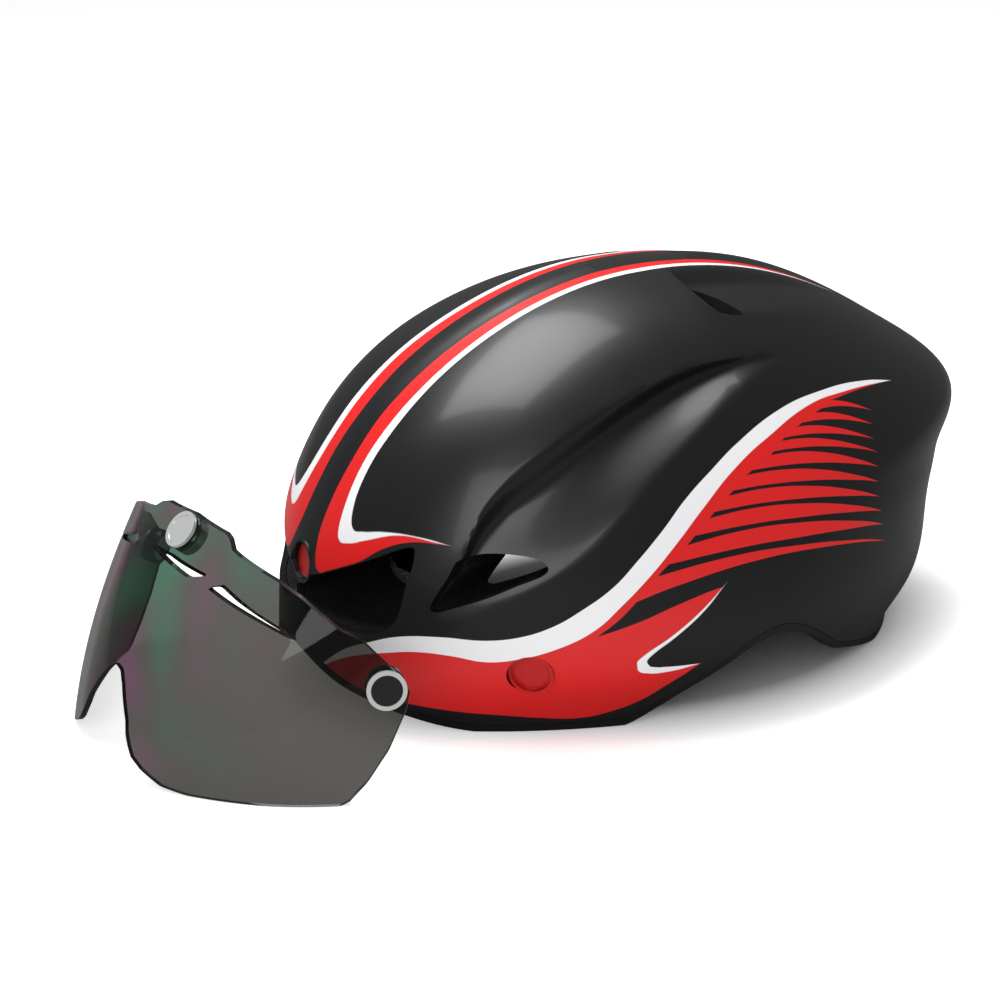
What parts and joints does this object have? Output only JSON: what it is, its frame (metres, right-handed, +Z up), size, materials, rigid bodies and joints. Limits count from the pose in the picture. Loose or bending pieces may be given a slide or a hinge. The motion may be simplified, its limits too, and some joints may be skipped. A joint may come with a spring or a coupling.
{
  "type": "aero time trial helmet",
  "caption": "Glossy black cycling time trial helmet with red and white racing stripes, a tinted magnetic visor standing in front of it and a dial-adjusted cradle inside.",
  "frame": {"origin": "on the floor under the head opening, on the helmet's middle plane", "axes": "-Y forwards, the way the wearer looks; +X to the wearer's left; +Z up"},
  "size_m": [0.1966, 0.3617, 0.148],
  "materials": {
    "gloss_shell": "gloss paint over polycarbonate, with red and white stripes",
    "foam": "moulded expanded foam, fine bead texture",
    "edge_plastic": "satin moulded plastic",
    "pad_fabric": "soft brushed knit over foam",
    "webbing": "woven polyester webbing",
    "band_plastic": "flexible nylon",
    "dial_plastic": "fine textured plastic",
    "gear_plastic": "natural acetal",
    "steel": "plated steel",
    "cup_plastic": "gloss plastic in the shell's colour",
    "buckle_plastic": "satin acetal",
    "lens": "smoke tinted transparent plastic with a thin rainbow coating",
    "chrome_trim": "polished plating",
    "cap_plastic": "gloss plastic"
  },
  "bodies": {
    "helmet": {"outer_shell": "gloss_shell", "rim_trim": "edge_plastic", "foam_liner": "foam", "front_pad": "pad_fabric", "crown_pads": "pad_fabric", "side_pad_left": "pad_fabric", "side_pad_right": "pad_fabric", "front_seat_cup": "cup_plastic", "left_seat_cup": "cup_plastic", "right_seat_cup": "cup_plastic", "seat_magnets": "steel", "dial_housing": "dial_plastic", "dial_cover": "dial_plastic", "click_spring": "steel", "headband_left": "band_plastic", "headband_right": "band_plastic", "band_anchors": "edge_plastic", "cradle_posts": "edge_plastic", "nape_pad": "pad_fabric", "strap_anchors": "edge_plastic", "strap_front_left": "webbing", "strap_rear_left": "webbing", "strap_front_right": "webbing", "strap_rear_right": "webbing", "strap_divider_left": "buckle_plastic", "strap_divider_right": "buckle_plastic", "chin_strap_left": "webbing", "chin_strap_right": "webbing", "chin_pad": "pad_fabric", "buckle_socket": "buckle_plastic"},
    "dial": {"dial_pinion": "gear_plastic", "dial_knob": "dial_plastic", "dial_screw": "steel"},
    "left_rack": {"rack_left": "band_plastic"},
    "right_rack": {"rack_right": "band_plastic"},
    "plug": {"buckle_plug": "buckle_plastic", "strap_keeper": "buckle_plastic"},
    "visor": {"visor_lens": "lens", "brow_cap": "chrome_trim", "temple_cap_left": "cap_plastic", "temple_cap_right": "cap_plastic", "cap_rings": "chrome_trim", "visor_magnets": "steel"}
  },
  "joints": [
    {"name": "dial_turn", "type": "hinge", "parent": "helmet", "child": "dial", "pos_m": [0, 0.08, 0.038], "axis": [0, 1, 0], "range_deg": [-114, 114]},
    {"name": "rack_left_slide", "type": "slide", "parent": "helmet", "child": "left_rack", "axis": [1, 0, 0], "range_m": [-0.008, 0.008], "deforming": ["headband_left"]},
    {"name": "rack_right_slide", "type": "slide", "parent": "helmet", "child": "right_rack", "axis": [-1, 0, 0], "range_m": [-0.008, 0.008], "deforming": ["headband_right"]},
    {"name": "buckle_release", "type": "slide", "parent": "helmet", "child": "plug", "axis": [-1, 0, 0], "range_m": [0, 0.014], "deforming": ["chin_strap_right"]},
    {"name": "visor_slide", "type": "slide", "parent": "helmet", "child": "visor", "axis": [0, -1, 0], "range_m": [0, 0.1]}
  ],
  "couplings": [
    {"joint": "rack_left_slide", "follows": "dial_turn", "m_per_rad": 0.004},
    {"joint": "rack_right_slide", "follows": "dial_turn", "m_per_rad": 0.004}
  ]
}
